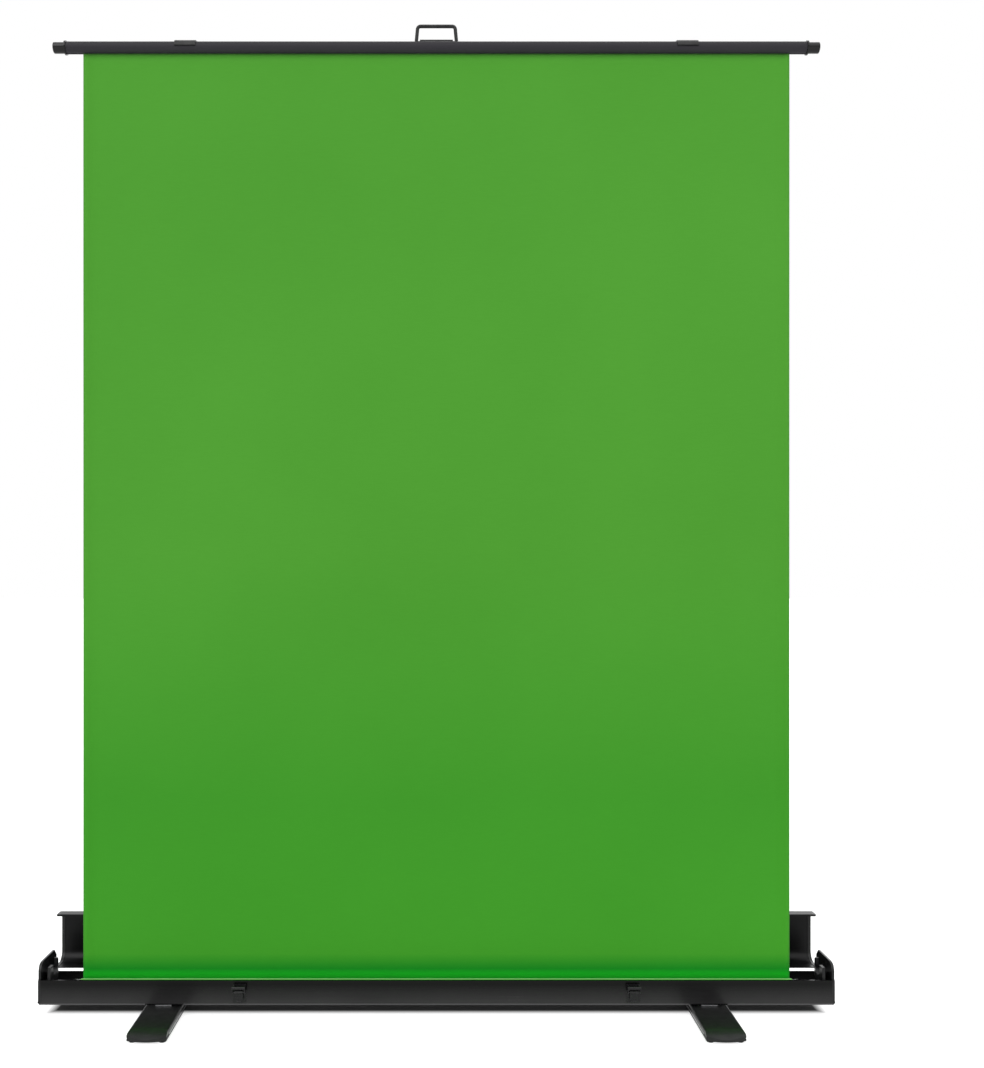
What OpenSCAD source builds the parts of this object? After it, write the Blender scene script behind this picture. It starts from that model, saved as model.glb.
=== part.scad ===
// Collapsible backdrop panel: a green cloth on a spring roller, pulled up out of a long
// floor case and held taut by two crossing chains of folding arms with gas struts.
// Millimetres. X runs along the case, Y from front to back, Z up. The origin is on the
// floor under the middle of the case. The panel is drawn raised, with the lid open.

/* [Case] */
// Length over the two end caps
case_length = 1645; // [1560:5:1800]
// Depth of the tray, front to back
tray_depth = 116; // [114:1:126]
// Height of the tray's front wall
front_wall = 52; // [50:1:56]
// Height of the tray's rear wall
rear_wall = 33; // [31:1:36]
// Thickness of the tray walls
tray_wall = 2.2; // [1.8:0.1:2.6]
// Thickness of the tray floor
tray_floor = 2.5; // [2:0.1:3]
// Height of the rim bead along the front wall
rim_height = 5; // [4:0.5:6]
// Height of the lid above the front wall when shut
lid_rise = 38; // [36:1:44]
// Thickness of the lid sheet
lid_wall = 2; // [1.6:0.1:2.4]
// Radius of the lid's rear corner
lid_round = 24; // [18:1:26]
// Radius of the lid's front corner
lid_nose = 15; // [12:1:20]
// Length of the trim at each end of the lid
lid_trim = 6.5; // [5:0.5:9]
// Thickness of an end cap's outer plate
end_plate = 6; // [5:0.5:8]
// Diameter of the lid hinge pins
hinge_pin_d = 6; // [5:0.5:7]
// Distance of each lid hinge from the middle
hinge_x = 465; // [430:5:520]

/* [Feet] */
// Length of a foot
foot_length = 400; // [360:5:460]
// Width of a foot
foot_width = 78; // [70:1:90]
// Height of a foot's body
foot_height = 16.7; // [15:0.1:20]
// Height of the rubber pads
pad_height = 4; // [3:0.5:6]
// Diameter of the rubber pads
pad_d = 14; // [10:1:16]
// Height of the swivel plate between foot and tray
washer_height = 4; // [3:0.5:6]
// Width of the swivel plate
slide_width = 33; // [28:1:38]
// Length of the rounded nose at each end of a foot
foot_nose = 32; // [26:1:40]
// Height of a foot's body at the tip of its nose
nose_lip = 5; // [4:0.5:7]
// Distance of each foot from the middle of the case
foot_x = 565; // [480:5:620]
// Diameter of the swivel bolts
foot_bolt_d = 10; // [8:0.5:12]

/* [Screen] */
// Width of the cloth
cloth_width = 1480; // [1400:5:1490]
// Thickness of the cloth as drawn
cloth_thickness = 0.6; // [0.4:0.1:1]
// Diameter of the roller tube
roller_d = 28; // [26:0.5:28]
// Thickness of the turns left on the roller
wrap_thickness = 1.4; // [1:0.1:1.8]
// Diameter of the fixed roller axle
axle_d = 8; // [6:0.5:9]
// Height of the top bar's axis when the panel is raised
bar_height = 2018; // [1850:1:2100]
// Diameter of the top bar
bar_d = 25; // [22:0.5:26]
// Wall of the top bar
bar_wall = 2; // [1.5:0.1:2.5]
// Diameter of the top bar's end tips
tip_d = 23; // [18:0.5:24]
// Length of the top bar's end tips
tip_length = 24; // [20:1:28]
// Length of the end plugs inside the top bar
plug_spigot = 22; // [18:1:26]
// Height of the stowed top bar's axis above the tray floor
bar_stow_height = 60.5; // [58:0.5:64]
// Length of the roller's spring
spring_length = 150; // [120:5:200]
// Distance of the spring from the end of the roller
spring_inset = 40; // [34:1:60]

/* [Arms] */
// Distance of the lower and top pivots from the middle
pivot_x = 525; // [500:1:560]
// Distance of the elbows from the middle
elbow_x = 93; // [80:1:110]
// Width of an arm tube in the plane of folding
arm_width = 22; // [20:0.5:23]
// Thickness of an arm tube
arm_depth = 12; // [10:0.5:12]
// Wall of an arm tube
arm_wall = 1.5; // [1:0.1:2]
// Diameter of the arm pivot pins
pivot_d = 8; // [6:0.5:9]
// Length of the black fitting at an elbow
elbow_fitting = 64; // [56:1:80]
// Length of the black fitting at a lower or top pivot
root_fitting = 44; // [38:1:60]
// Length of the clamps on the top bar
clamp_length = 44; // [38:1:50]
// Length of the base of an arm bracket
bracket_base = 40; // [34:1:50]
// Distance along the upper arm to the clip
clip_reach = 470; // [400:5:560]

/* [Struts] */
// Diameter of a strut's cylinder
strut_d = 15; // [12:0.5:15]
// Diameter of a strut's rod
strut_rod_d = 6; // [5:0.5:7]
// Distance of a strut's foot from the middle
strut_x = 380; // [360:1:400]
// Distance up the arm to the strut's upper pivot
strut_reach = 439; // [425:1:455]
// Distance of a strut's piston behind the mouth of its cylinder
piston_back = 40; // [34:1:50]
// Length of a strut's piston
piston_length = 12; // [8:1:16]
// Length of the clamp that takes the strut
strut_clamp = 150; // [110:1:170]

/* [Handles and latches] */
// Thickness of the wire of the handle on the top bar
bail_wire = 6; // [4:0.5:6]
// Width over the legs of the handle on the top bar
bail_width = 87; // [80:1:110]
// Height of the handle above its pivots
bail_rise = 34; // [30:1:40]
// Bend radius of the handle on the top bar
bail_bend = 6; // [5:0.5:10]
// Length of the carrying grip on the lid
grip_length = 205; // [160:1:240]
// Thickness of the carrying grip
grip_d = 15; // [12:0.5:16]
// Length of the bracket at each end of the carrying grip
carry_foot = 28; // [24:1:34]
// Distance of each latch from the middle
latch_x = 406; // [395:1:430]
// Width of a latch over its plate
latch_width = 27; // [25:0.5:30]
// Width of a latch lever
lever_width = 17; // [15:0.5:18]
// Height of a latch plate
latch_plate_h = 38; // [34:1:42]
// Length of a latch lever below its pivot
lever_drop = 29; // [24:1:30]

/* [Fits] */
// Clearance round a turning pin
run_clear = 0.05; // [0.03:0.01:0.08]
// Space between faces that pass each other
face_gap = 0.3; // [0.3:0.05:0.4]
// Clearance round the pin of the right-hand top pivot
open_clear = 0.3; // [0.3:0.05:0.4]

/* [Hidden] */
$fn = 32;

// heights of the case
tray_z = pad_height + foot_height + face_gap + washer_height;
floor_z = tray_z + tray_floor;
front_z = tray_z + front_wall;
rear_z = tray_z + rear_wall;
front_y = -tray_depth / 2 - 2;
rear_y = tray_depth / 2 - 2;
tray_half = case_length / 2 - end_plate;
rear_in = rear_y - tray_wall;
front_in = front_y + tray_wall;
bevel = 4;
port_d = 7.6;
port_bore = 3.4;
nose_bulge = 1.27 * foot_width;
slide_inset = 9;
port_sink = 0.8;
front_port = [front_in + port_d / 2 - port_sink, floor_z + port_d / 2 - port_sink];
rear_port = [rear_in - port_d / 2 + port_sink, floor_z + port_d / 2 - port_sink];

// the lid stands open behind the tray
hinge_y = rear_y - 4;
hinge_z = rear_z + 8;
lid_top = front_z + lid_rise;
lid_back = hinge_y + lid_top - hinge_z;
lid_high = hinge_z + hinge_y - front_y;
lid_low = hinge_z;
lid_tip = hinge_y + front_z - hinge_z;
lid_heel = hinge_y - 2;
hinge_eye = 7;
hinge_leaf = 10;
hinge_xs = [-hinge_x, hinge_x];

// end caps: cheeks that the shut lid covers, and a cradle for the tips of the top bar
cheek_top = lid_top - lid_wall - 1.5;
cheek_front = front_y + lid_wall + 1.5;
cheek_rear = hinge_y - 9;
cheek_round = 20;
bar_half = case_length / 2 - 20.5;
tip_seat = 3;
cradle_in = bar_half - tip_seat;
cradle_plate = 6;
cradle_web = 4;

// the roller, with the cloth rising from its back to the slot in the top bar
bar_y = -19.5;
bar_z = bar_height;
bar_stow = floor_z + bar_stow_height;
cradle_rear = bar_y + tip_d / 2 + 9;
collar = 3;
collar_lip = 2.2;
tip_round = 2;
bar_tube_half = bar_half - tip_length - collar;
roll_r = roller_d / 2 + wrap_thickness;
roller_y = bar_y - cloth_thickness / 2 - face_gap - roll_r;
roller_z = floor_z + 29;
roller_half = cloth_width / 2 + 10;
slot_w = 3;
welt_d = 7;
welt_z = bar_z - bar_d / 2 + bar_wall + welt_d / 2;
cloth_top = welt_z - welt_d / 2 - 0.2;
welt_half = bar_tube_half - plug_spigot - 0.5;

// the linkage: both chains are the same two arms, one chain in front of the other
pivot_z = floor_z + 12.5;
top_up = 7.3;
elbow_z = (pivot_z + bar_z + top_up) / 2;
arm_rise = elbow_z - pivot_z;
arm_run = pivot_x + elbow_x;
arm_length = norm([arm_run, arm_rise]);
lift = atan2(arm_rise, arm_run);
elbow_off = arm_width / 2 + 1;
arm_tilt = asin(elbow_off / arm_length);
arm_s = sqrt(arm_length * arm_length - elbow_off * elbow_off);
arm_lift = lift - arm_tilt;
layer_a = 3.5;
layer_b = layer_a + arm_depth + 3.5;
eye_r = arm_width / 2 - 0.5;
elbow_r = 12;
pin_head_d = pivot_d + 5;
cheek_t = 2.5;

// struts: the rod is out when the arms are up
strut_plate = 1.5;
strut_ya = layer_a - strut_plate - 0.5 - strut_d / 2;
strut_yb = layer_b + arm_depth + strut_plate + 0.5 + strut_d / 2;
grip_n = 4 - arm_width / 2;
grip_x = -pivot_x + strut_reach * cos(arm_lift) - grip_n * sin(arm_lift);
grip_z = pivot_z + strut_reach * sin(arm_lift) + grip_n * cos(arm_lift);
strut_z = pivot_z;
strut_long = norm([strut_x - grip_x, grip_z - strut_z]);
strut_lift = atan2(grip_z - strut_z, strut_x - grip_x);
strut_body0 = 14;
strut_body1 = strut_x + pivot_x - strut_reach - 24;
strut_eye = 10;

// handle on the top bar, grip on the lid, latches
bail_y = bar_y + 11.5;
bail_z = bar_z + 16.5;
bail_half = (bail_width - bail_wire) / 2;
grip_y = lid_back + grip_d / 2 + 1.2;
grip_pivot_z = 137;
grip_drop = 20;
grip_half = grip_length / 2;
latch_z = front_z - 15;
latch_y = front_y - 6;
claw_y = latch_y - 4;
claw_z = latch_z - 6;

black = [0.09, 0.09, 0.1];
grey = [0.22, 0.22, 0.23];
steel = [0.72, 0.73, 0.75];
green = [0.3, 0.62, 0.2];

module along_x(x0, x1) {
    translate([x0, 0, 0]) rotate([90, 0, 90]) linear_extrude(height = x1 - x0) children();
}

module along_y(y0, y1) {
    translate([0, y1, 0]) rotate([90, 0, 0]) linear_extrude(height = y1 - y0) children();
}

module pin_x(d, x0, x1) {
    translate([x0, 0, 0]) rotate([0, 90, 0]) cylinder(d = d, h = x1 - x0);
}

module pin_y(d, y0, y1) {
    translate([0, y0, 0]) rotate([-90, 0, 0]) cylinder(d = d, h = y1 - y0);
}

module both_sides() {
    children();
    mirror([1, 0, 0]) children();
}

// Extruded tray with a rim bead and two channels for the end cap screws

module tray_outline() {
    polygon([[front_y, tray_z + bevel], [front_y + bevel, tray_z], [rear_y - bevel, tray_z],
        [rear_y, tray_z + bevel], [rear_y, rear_z], [front_in, rear_z], [front_in, front_z],
        [front_y, front_z]]);
}

module tray_section() {
    difference() {
        union() {
            difference() {
                tray_outline();
                polygon([[front_in, floor_z + 2], [front_in + 2, floor_z], [rear_in - 2, floor_z],
                    [rear_in, floor_z + 2], [rear_in, rear_z + 1], [front_in, rear_z + 1]]);
            }
            translate([front_y - 0.8, front_z - rim_height]) square([tray_wall + 2.6, rim_height]);
            translate([front_y + tray_wall + 1.8, front_z - rim_height / 2]) circle(d = rim_height);
            translate(front_port) circle(d = port_d);
            translate(rear_port) circle(d = port_d);
        }
        translate(front_port) circle(d = port_bore);
        translate(rear_port) circle(d = port_bore);
    }
}

module base_tray() {
    color(grey) difference() {
        along_x(-tray_half, tray_half) tray_section();
        for (x = [-foot_x, foot_x]) {
            translate([x, 0, tray_z - 1]) cylinder(d = foot_bolt_d + 2 * run_clear, h = tray_floor + 2);
        }
    }
}

// End cap: outer plate, inner plate and the cradle between them

module cheek_outline() {
    union() {
        polygon([[front_y, tray_z + bevel], [front_y + bevel, tray_z], [rear_y - bevel, tray_z],
            [rear_y, tray_z + bevel], [rear_y, rear_z], [cheek_rear, rear_z],
            [cheek_rear, cheek_top - 13], [cheek_rear - 13, cheek_top],
            [cheek_front + cheek_round, cheek_top], [cheek_front + cheek_round, cheek_top - cheek_round],
            [cheek_front, cheek_top - cheek_round], [cheek_front, front_z], [front_y, front_z]]);
        translate([cheek_front + cheek_round, cheek_top - cheek_round]) circle(r = cheek_round, $fn = 48);
    }
}

module cradle_outline() {
    difference() {
        polygon([[front_in + 4.8, floor_z], [cradle_rear, floor_z], [cradle_rear, cheek_top - 9],
            [cradle_rear - 4, cheek_top - 5], [bar_y + 14, cheek_top - 5], [bar_y - 14, cheek_top - 12],
            [cheek_front + 8, cheek_top - 12], [front_in + 7, front_z], [front_in + 4.8, front_z - 8]]);
        translate([bar_y, bar_stow]) circle(r = tip_d / 2 + 1);
        translate([bar_y - tip_d / 2 - 1, bar_stow]) square([tip_d + 2, lid_rise]);
        translate(front_port) circle(d = port_d + 2 * face_gap);
        translate([roller_y, roller_z]) circle(d = axle_d + 2 * run_clear);
    }
}

module end_cap() {
    along_x(tray_half, case_length / 2 - 2) cheek_outline();
    along_x(case_length / 2 - 2, case_length / 2) intersection() {
        translate([2.5, 0]) cheek_outline();
        translate([-2.5, 0]) cheek_outline();
        translate([0, -2.5]) cheek_outline();
        translate([0, 2.5]) cheek_outline();
    }
    along_x(cradle_in, cradle_in + cradle_plate) cradle_outline();
    along_x(cradle_in, tray_half) difference() {
        translate([bar_y, bar_stow]) circle(r = tip_d / 2 + 4);
        translate([bar_y, bar_stow]) circle(r = tip_d / 2 + 1);
        translate([bar_y - tip_d, bar_stow - 2]) square([2 * tip_d, tip_d]);
    }
    along_x(cradle_in, tray_half) translate([cradle_rear - cradle_web, floor_z])
        square([cradle_web, bar_stow - floor_z]);
    along_x(cradle_in + cradle_plate, tray_half) difference() {
        translate([roller_y, roller_z]) circle(d = axle_d + 8);
        translate([roller_y, roller_z]) circle(d = axle_d + 2 * run_clear);
    }
}

module right_end_cap() {
    color(black) end_cap();
}

module left_end_cap() {
    color(black) mirror([1, 0, 0]) end_cap();
}

// Brackets on the tray floor

module arm_bracket(y0) {
    y1 = y0 + arm_depth + 2 * face_gap;
    r = pivot_z - floor_z;
    for (y = [y0 - cheek_t, y1]) {
        along_y(y, y + cheek_t) difference() {
            union() {
                translate([0, pivot_z]) circle(r = r);
                translate([-r, floor_z]) square([2 * r, r]);
                translate([-bracket_base / 2, floor_z]) square([bracket_base, 4]);
            }
            translate([0, pivot_z]) circle(d = pivot_d + 2 * run_clear);
        }
    }
    translate([-bracket_base / 2, y0 - cheek_t, floor_z]) cube([bracket_base, y1 - y0 + 2 * cheek_t, 1.4]);
}

module arm_base_brackets() {
    color(steel) {
        translate([-pivot_x, 0, 0]) arm_bracket(layer_a - face_gap);
        translate([pivot_x, 0, 0]) arm_bracket(layer_b - face_gap);
    }
}

module arm_base_pins() {
    ya = layer_a - face_gap - cheek_t;
    yb = layer_b - face_gap - cheek_t;
    reach = arm_depth + 2 * face_gap + 2 * cheek_t;
    color(steel) {
        translate([-pivot_x, 0, pivot_z]) {
            pin_y(pivot_d, ya, ya + reach);
            pin_y(pin_head_d, ya - 2, ya);
        }
        translate([pivot_x, 0, pivot_z]) {
            pin_y(pivot_d, yb, yb + reach);
            pin_y(pin_head_d, yb + reach, yb + reach + 2);
        }
    }
}

module strut_base_brackets() {
    front_face = strut_ya - strut_d / 2 - 0.5;
    rear_face = strut_yb + strut_d / 2 + 1;
    color(steel) {
        translate([strut_x, 0, 0]) {
            along_y(front_face - 3, front_face) {
                translate([0, strut_z]) circle(r = 10);
                translate([-14, floor_z]) square([28, 6]);
                translate([-10, floor_z]) square([20, strut_z - floor_z]);
            }
            translate([-14, front_face - 3, floor_z]) cube([28, strut_d + 3, 2]);
            translate([0, 0, strut_z]) pin_y(pivot_d, front_face - 1, strut_ya + strut_eye / 2 + 2);
        }
        translate([-strut_x, 0, 0]) {
            along_y(rear_face, rear_in) {
                translate([-16, strut_z - 4.5]) square([32, 16.5]);
            }
            translate([0, 0, strut_z]) pin_y(pivot_d, strut_yb - strut_eye / 2 - 2, rear_face + 1);
        }
    }
}

// Lid hinges

module hinge_ear() {
    along_x(-hinge_leaf - 0.2, -0.2) difference() {
        union() {
            translate([hinge_y, hinge_z]) circle(r = hinge_eye);
            polygon([[rear_in - 2.3, rear_z], [rear_y, rear_z], [hinge_y + hinge_eye, hinge_z],
                [hinge_y - hinge_eye, hinge_z]]);
            translate([rear_in - 2.3, rear_z - 13]) square([2.3, 14]);
        }
        translate([hinge_y, hinge_z]) circle(d = hinge_pin_d + 2 * run_clear);
    }
}

module hinge_lug() {
    along_x(0.2, hinge_leaf + 0.2) difference() {
        union() {
            translate([hinge_y, hinge_z]) circle(r = hinge_eye);
            translate([hinge_y, lid_low + lid_wall]) square([lid_back - lid_round - hinge_y - 1, 4]);
        }
        translate([hinge_y, hinge_z]) circle(d = hinge_pin_d + 2 * run_clear);
    }
}

module lid_hinge_ears() {
    color(black) for (x = hinge_xs) translate([x, 0, 0]) hinge_ear();
}

module lid_hinge_lugs() {
    color(black) for (x = hinge_xs) translate([x, 0, 0]) hinge_lug();
}

module lid_hinge_pins() {
    color(steel) for (x = hinge_xs) translate([x, hinge_y, hinge_z]) {
        pin_x(hinge_pin_d, -hinge_leaf - 0.2, hinge_leaf + 0.2 + face_gap);
        pin_x(hinge_pin_d + 3, -hinge_leaf - 1.4, -hinge_leaf - 0.2);
        pin_x(hinge_pin_d + 3, hinge_leaf + 0.2 + face_gap, hinge_leaf + 1.4 + face_gap);
    }
}

// Lid: a long channel, open at its ends, with a rounded rear corner and a bevelled front corner

module lid_outline(t) {
    rear = [lid_back - lid_round, lid_low + lid_round];
    nose = [lid_back - lid_nose, lid_high - lid_nose];
    union() {
        polygon([[lid_heel - 2, lid_low + t], [rear[0], lid_low + t], rear, [lid_back - t, rear[1]],
            [lid_back - t, nose[1]], nose, [nose[0], lid_high - t], [lid_heel - 2, lid_high - t]]);
        translate(rear) circle(r = lid_round - t, $fn = 64);
        translate(nose) circle(r = lid_nose - t, $fn = 64);
    }
}

module lid_section(t) {
    difference() {
        union() {
            difference() {
                lid_outline(0);
                lid_outline(t);
            }
            translate([lid_tip, lid_high - 4.5]) square([4.5, 4.5]);
        }
        translate([lid_heel - 20, lid_low - 1]) square([20, lid_high]);
        translate([lid_heel - 20, lid_low + 10]) square([lid_tip - lid_heel + 20, lid_high]);
    }
}

module lid_shell() {
    half = case_length / 2 - lid_trim;
    color(grey) difference() {
        along_x(-half, half) difference() {
            lid_section(lid_wall);
            for (z = [lid_low + lid_round + 8, lid_high - lid_nose - 8]) {
                translate([lid_back - 0.7, z]) square([2, 2.4]);
            }
        }
        for (x = hinge_xs) {
            translate([x - hinge_leaf - 3, hinge_y - 12, lid_low - 4]) cube([2 * hinge_leaf + 6, 20.5, 10]);
        }
    }
}

module lid_end_trims() {
    color(black) both_sides() along_x(case_length / 2 - lid_trim, case_length / 2) lid_section(lid_wall + 1);
}

module latch_catches() {
    color(black) for (x = [-latch_x, latch_x]) along_x(x - 9, x + 9) {
        translate([lid_tip - 5, lid_high]) square([22, 2]);
        translate([lid_tip - 5, lid_high]) square([2.4, 7]);
        translate([lid_tip - 3.8, lid_high + 6]) circle(d = 3.6);
    }
}

// Latches on the front wall

module latch_plate() {
    ear_in = lever_width / 2 + 0.9;
    translate([-latch_width / 2, front_y - 1.5, latch_z + 8 - latch_plate_h])
        cube([latch_width, 1.5, latch_plate_h]);
    for (x = [-ear_in - 2, ear_in]) along_x(x, x + 2) {
        translate([latch_y, latch_z]) circle(r = 5);
        polygon([[front_y - 1, latch_z - 8], [front_y - 1, latch_z + 7], [latch_y, latch_z + 5],
            [latch_y, latch_z - 5]]);
    }
    translate([0, latch_y, latch_z]) pin_x(4, -ear_in - 2, ear_in + 2);
}

module latch_plates() {
    color(black) for (x = [-latch_x, latch_x]) translate([x, 0, 0]) latch_plate();
}

module latch_lever() {
    half = lever_width / 2;
    end_z = latch_z - lever_drop + half;
    difference() {
        union() {
            translate([0, latch_y, latch_z]) pin_x(8.4, -half - 0.6, half + 0.6);
            along_y(latch_y - 0.8, latch_y + 1.7) {
                translate([-half, end_z]) square([lever_width, latch_z - end_z]);
                translate([0, end_z]) circle(r = half);
            }
            along_x(-half, half) {
                translate([claw_y, claw_z]) circle(r = 3);
                polygon([[claw_y, claw_z - 3], [latch_y, claw_z - 5], [latch_y, latch_z], [claw_y, claw_z + 3]]);
            }
            translate([0, latch_y - 0.8, end_z - half + 4]) pin_x(3, -half * 0.6, half * 0.6);
            translate([0, claw_y, claw_z]) pin_x(3, -latch_width / 2, latch_width / 2);
        }
        translate([0, latch_y, latch_z]) pin_x(4 + 2 * run_clear, -latch_width, latch_width);
    }
}

module latch_claw() {
    leg = lever_width / 2 + 3.3;
    difference() {
        union() {
            for (x = [-latch_width / 2, leg]) along_x(x, x + latch_width / 2 - leg) {
                translate([claw_y, claw_z]) circle(r = 3.2);
                polygon([[claw_y - 3.2, claw_z], [claw_y + 3.2, claw_z], [claw_y - 1, claw_z + 10],
                    [claw_y - 6.6, claw_z + 10]]);
            }
            translate([0, claw_y - 4, claw_z + 10]) pin_x(5.4, -latch_width / 2, latch_width / 2);
        }
        translate([0, claw_y, claw_z]) pin_x(3 + 2 * run_clear, -latch_width, latch_width);
    }
}

module left_latch_lever() {
    color(black) translate([-latch_x, 0, 0]) latch_lever();
}

module left_latch_claw() {
    color(grey) translate([-latch_x, 0, 0]) latch_claw();
}

module right_latch_lever() {
    color(black) translate([latch_x, 0, 0]) latch_lever();
}

module right_latch_claw() {
    color(grey) translate([latch_x, 0, 0]) latch_claw();
}

// Carrying grip on the back of the lid

module carry_brackets() {
    color(black) both_sides() difference() {
        along_x(grip_half + 22, grip_half + 22 + carry_foot) {
            translate([grip_y, grip_pivot_z]) circle(r = 7);
            polygon([[lid_back, grip_pivot_z - 15], [lid_back, grip_pivot_z + 14],
                [grip_y, grip_pivot_z + 7], [grip_y, grip_pivot_z - 7]]);
        }
        translate([0, grip_y, grip_pivot_z]) pin_x(6 + 2 * run_clear, 0, grip_half + 12 + carry_foot);
    }
}

module carry_grip() {
    color(black) union() {
        translate([0, grip_y, grip_pivot_z - grip_drop]) pin_x(grip_d, -grip_half - 14, grip_half + 14);
        both_sides() {
            along_x(grip_half + 10, grip_half + 19) {
                translate([grip_y, grip_pivot_z]) circle(r = 5.5);
                translate([grip_y - 5.5, grip_pivot_z - grip_drop]) square([11, grip_drop]);
            }
            translate([0, grip_y, grip_pivot_z]) pin_x(6, grip_half + 12, grip_half + 10 + carry_foot);
        }
    }
}

// Spring roller

module roller_axle() {
    color(steel) translate([0, roller_y, roller_z]) pin_x(axle_d, -cradle_in - 10, cradle_in + 10);
}

module roller_spring() {
    turns = 10;
    r0 = axle_d / 2 + 0.6;
    color(steel) translate([-roller_half + spring_inset, roller_y, roller_z]) rotate([0, 90, 0])
        linear_extrude(height = spring_length, twist = -360 * turns, slices = turns * 10, $fn = 8)
            polygon([[r0, 0], [r0 + 2.2, 0], [(r0 + 2.2) * cos(60), (r0 + 2.2) * sin(60)], [r0 * 0.64, r0 * 0.98]]);
}

module roller_tube() {
    color(steel) translate([0, roller_y, roller_z]) difference() {
        pin_x(roller_d, -roller_half, roller_half);
        pin_x(roller_d - 2.4, -roller_half - 1, roller_half + 1);
    }
}

module roller_plugs() {
    color(black) both_sides() translate([roller_half, roller_y, roller_z]) difference() {
        union() {
            pin_x(roller_d - 2.5, -20, 0);
            pin_x(roller_d + 2, 0, 3);
            pin_x(axle_d + 6, 3, 6);
        }
        pin_x(axle_d + 2 * run_clear, -21, 7);
    }
}

module screen_wraps() {
    color(green) translate([0, roller_y, roller_z]) difference() {
        pin_x(2 * roll_r, -cloth_width / 2, cloth_width / 2);
        pin_x(roller_d + 0.04, -cloth_width, cloth_width);
    }
}

module screen_fabric() {
    color(green) translate([-cloth_width / 2, bar_y - cloth_thickness / 2, roller_z])
        cube([cloth_width, cloth_thickness, cloth_top - roller_z]);
}

// Feet that swivel out from under the tray

module foot_section() {
    half = foot_width / 2;
    z1 = pad_height + foot_height;
    difference() {
        union() {
            translate([-half, pad_height]) square([foot_width, foot_height - 5]);
            translate([-half + 5, pad_height]) square([foot_width - 10, foot_height]);
            for (x = [-half + 5, half - 5]) translate([x, z1 - 5]) circle(r = 5);
        }
        for (x = [-half - 1, half - 1]) translate([x, pad_height + 4]) square([2, 2.4]);
    }
}

module foot_bar() {
    straight = foot_length / 2 - foot_nose;
    difference() {
        along_y(-straight, straight) foot_section();
        translate([0, 0, pad_height - 1]) cylinder(d = foot_bolt_d + 2 * run_clear, h = foot_height + 2);
        translate([0, 0, pad_height - 1]) cylinder(d = foot_bolt_d + 11, h = 6);
    }
}

module foot_nose() {
    half = foot_length / 2;
    z1 = pad_height + foot_height;
    drop = foot_height - nose_lip;
    round = (foot_nose * foot_nose + drop * drop) / (2 * drop);
    intersection() {
        along_y(half - foot_nose, half) foot_section();
        along_x(-foot_width, foot_width) translate([half - foot_nose, z1 - round]) circle(r = round, $fn = 96);
        translate([0, half - nose_bulge, 0]) cylinder(r = nose_bulge, h = 3 * z1, $fn = 96);
    }
}

module foot_ends() {
    foot_nose();
    mirror([0, 1, 0]) foot_nose();
}

module foot_pads() {
    for (x = [-1, 1], y = [-1, 1]) {
        translate([x * (foot_width / 2 - 10), y * (foot_length / 2 - 17), 0]) cylinder(d = pad_d, h = pad_height);
    }
}

module left_foot_bar() {
    color(black) translate([-foot_x, 0, 0]) foot_bar();
}

module left_foot_ends() {
    color(black) translate([-foot_x, 0, 0]) foot_ends();
}

module left_foot_pads() {
    color(grey) translate([-foot_x, 0, 0]) foot_pads();
}

module right_foot_bar() {
    color(black) translate([foot_x, 0, 0]) foot_bar();
}

module right_foot_ends() {
    color(black) translate([foot_x, 0, 0]) foot_ends();
}

module right_foot_pads() {
    color(grey) translate([foot_x, 0, 0]) foot_pads();
}

module foot_bolts() {
    color(steel) for (x = [-foot_x, foot_x]) translate([x, 0, 0]) {
        translate([0, 0, pad_height + 1]) cylinder(d = foot_bolt_d + 8, h = 3.7);
        translate([0, 0, pad_height + 4]) cylinder(d = foot_bolt_d, h = floor_z - pad_height - 3);
        translate([0, 0, floor_z]) cylinder(d = foot_bolt_d + 8, h = 4);
    }
}

module foot_washers() {
    color(steel) for (x = [-foot_x, foot_x]) translate([x, 0, tray_z - washer_height]) difference() {
        union() {
            cylinder(d = foot_bolt_d + 30, h = washer_height);
            translate([-slide_width / 2, front_y + slide_inset, 0])
                cube([slide_width, tray_depth - 2 * slide_inset, washer_height]);
        }
        translate([0, 0, -1]) cylinder(d = foot_bolt_d + 2 * run_clear, h = washer_height + 2);
    }
}

// Arms, each drawn along X from its outer pivot with its depth running back from Y = 0

module lower_place() {
    translate([-pivot_x, 0, pivot_z]) rotate([0, -arm_lift, 0]) children();
}

module upper_place() {
    translate([0, 0, 2 * elbow_z]) mirror([0, 0, 1]) lower_place() children();
}

module left_chain() {
    translate([0, layer_a, 0]) children();
}

module right_chain() {
    mirror([1, 0, 0]) translate([0, layer_b, 0]) children();
}

module arm_tube() {
    x0 = root_fitting;
    x1 = arm_s - elbow_fitting;
    translate([x0, 0, 0]) difference() {
        translate([0, 0, -arm_width / 2]) cube([x1 - x0, arm_depth, arm_width]);
        translate([-1, arm_wall, -arm_width / 2 + arm_wall])
            cube([x1 - x0 + 2, arm_depth - 2 * arm_wall, arm_width - 2 * arm_wall]);
    }
}

module arm_spigot(x0, x1) {
    side = arm_wall + 0.1;
    translate([x0, side, -arm_width / 2 + side]) cube([x1 - x0, arm_depth - 2 * side, arm_width - 2 * side]);
}

module root_end(bore) {
    difference() {
        union() {
            pin_y(2 * eye_r, 0, arm_depth);
            translate([0, 0, -eye_r]) cube([14, arm_depth, 2 * eye_r]);
            translate([12, 0, -arm_width / 2]) cube([root_fitting - 12, arm_depth, arm_width]);
            arm_spigot(root_fitting, root_fitting + 24);
        }
        pin_y(pivot_d + 2 * bore, -1, arm_depth + 1);
    }
}

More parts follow.
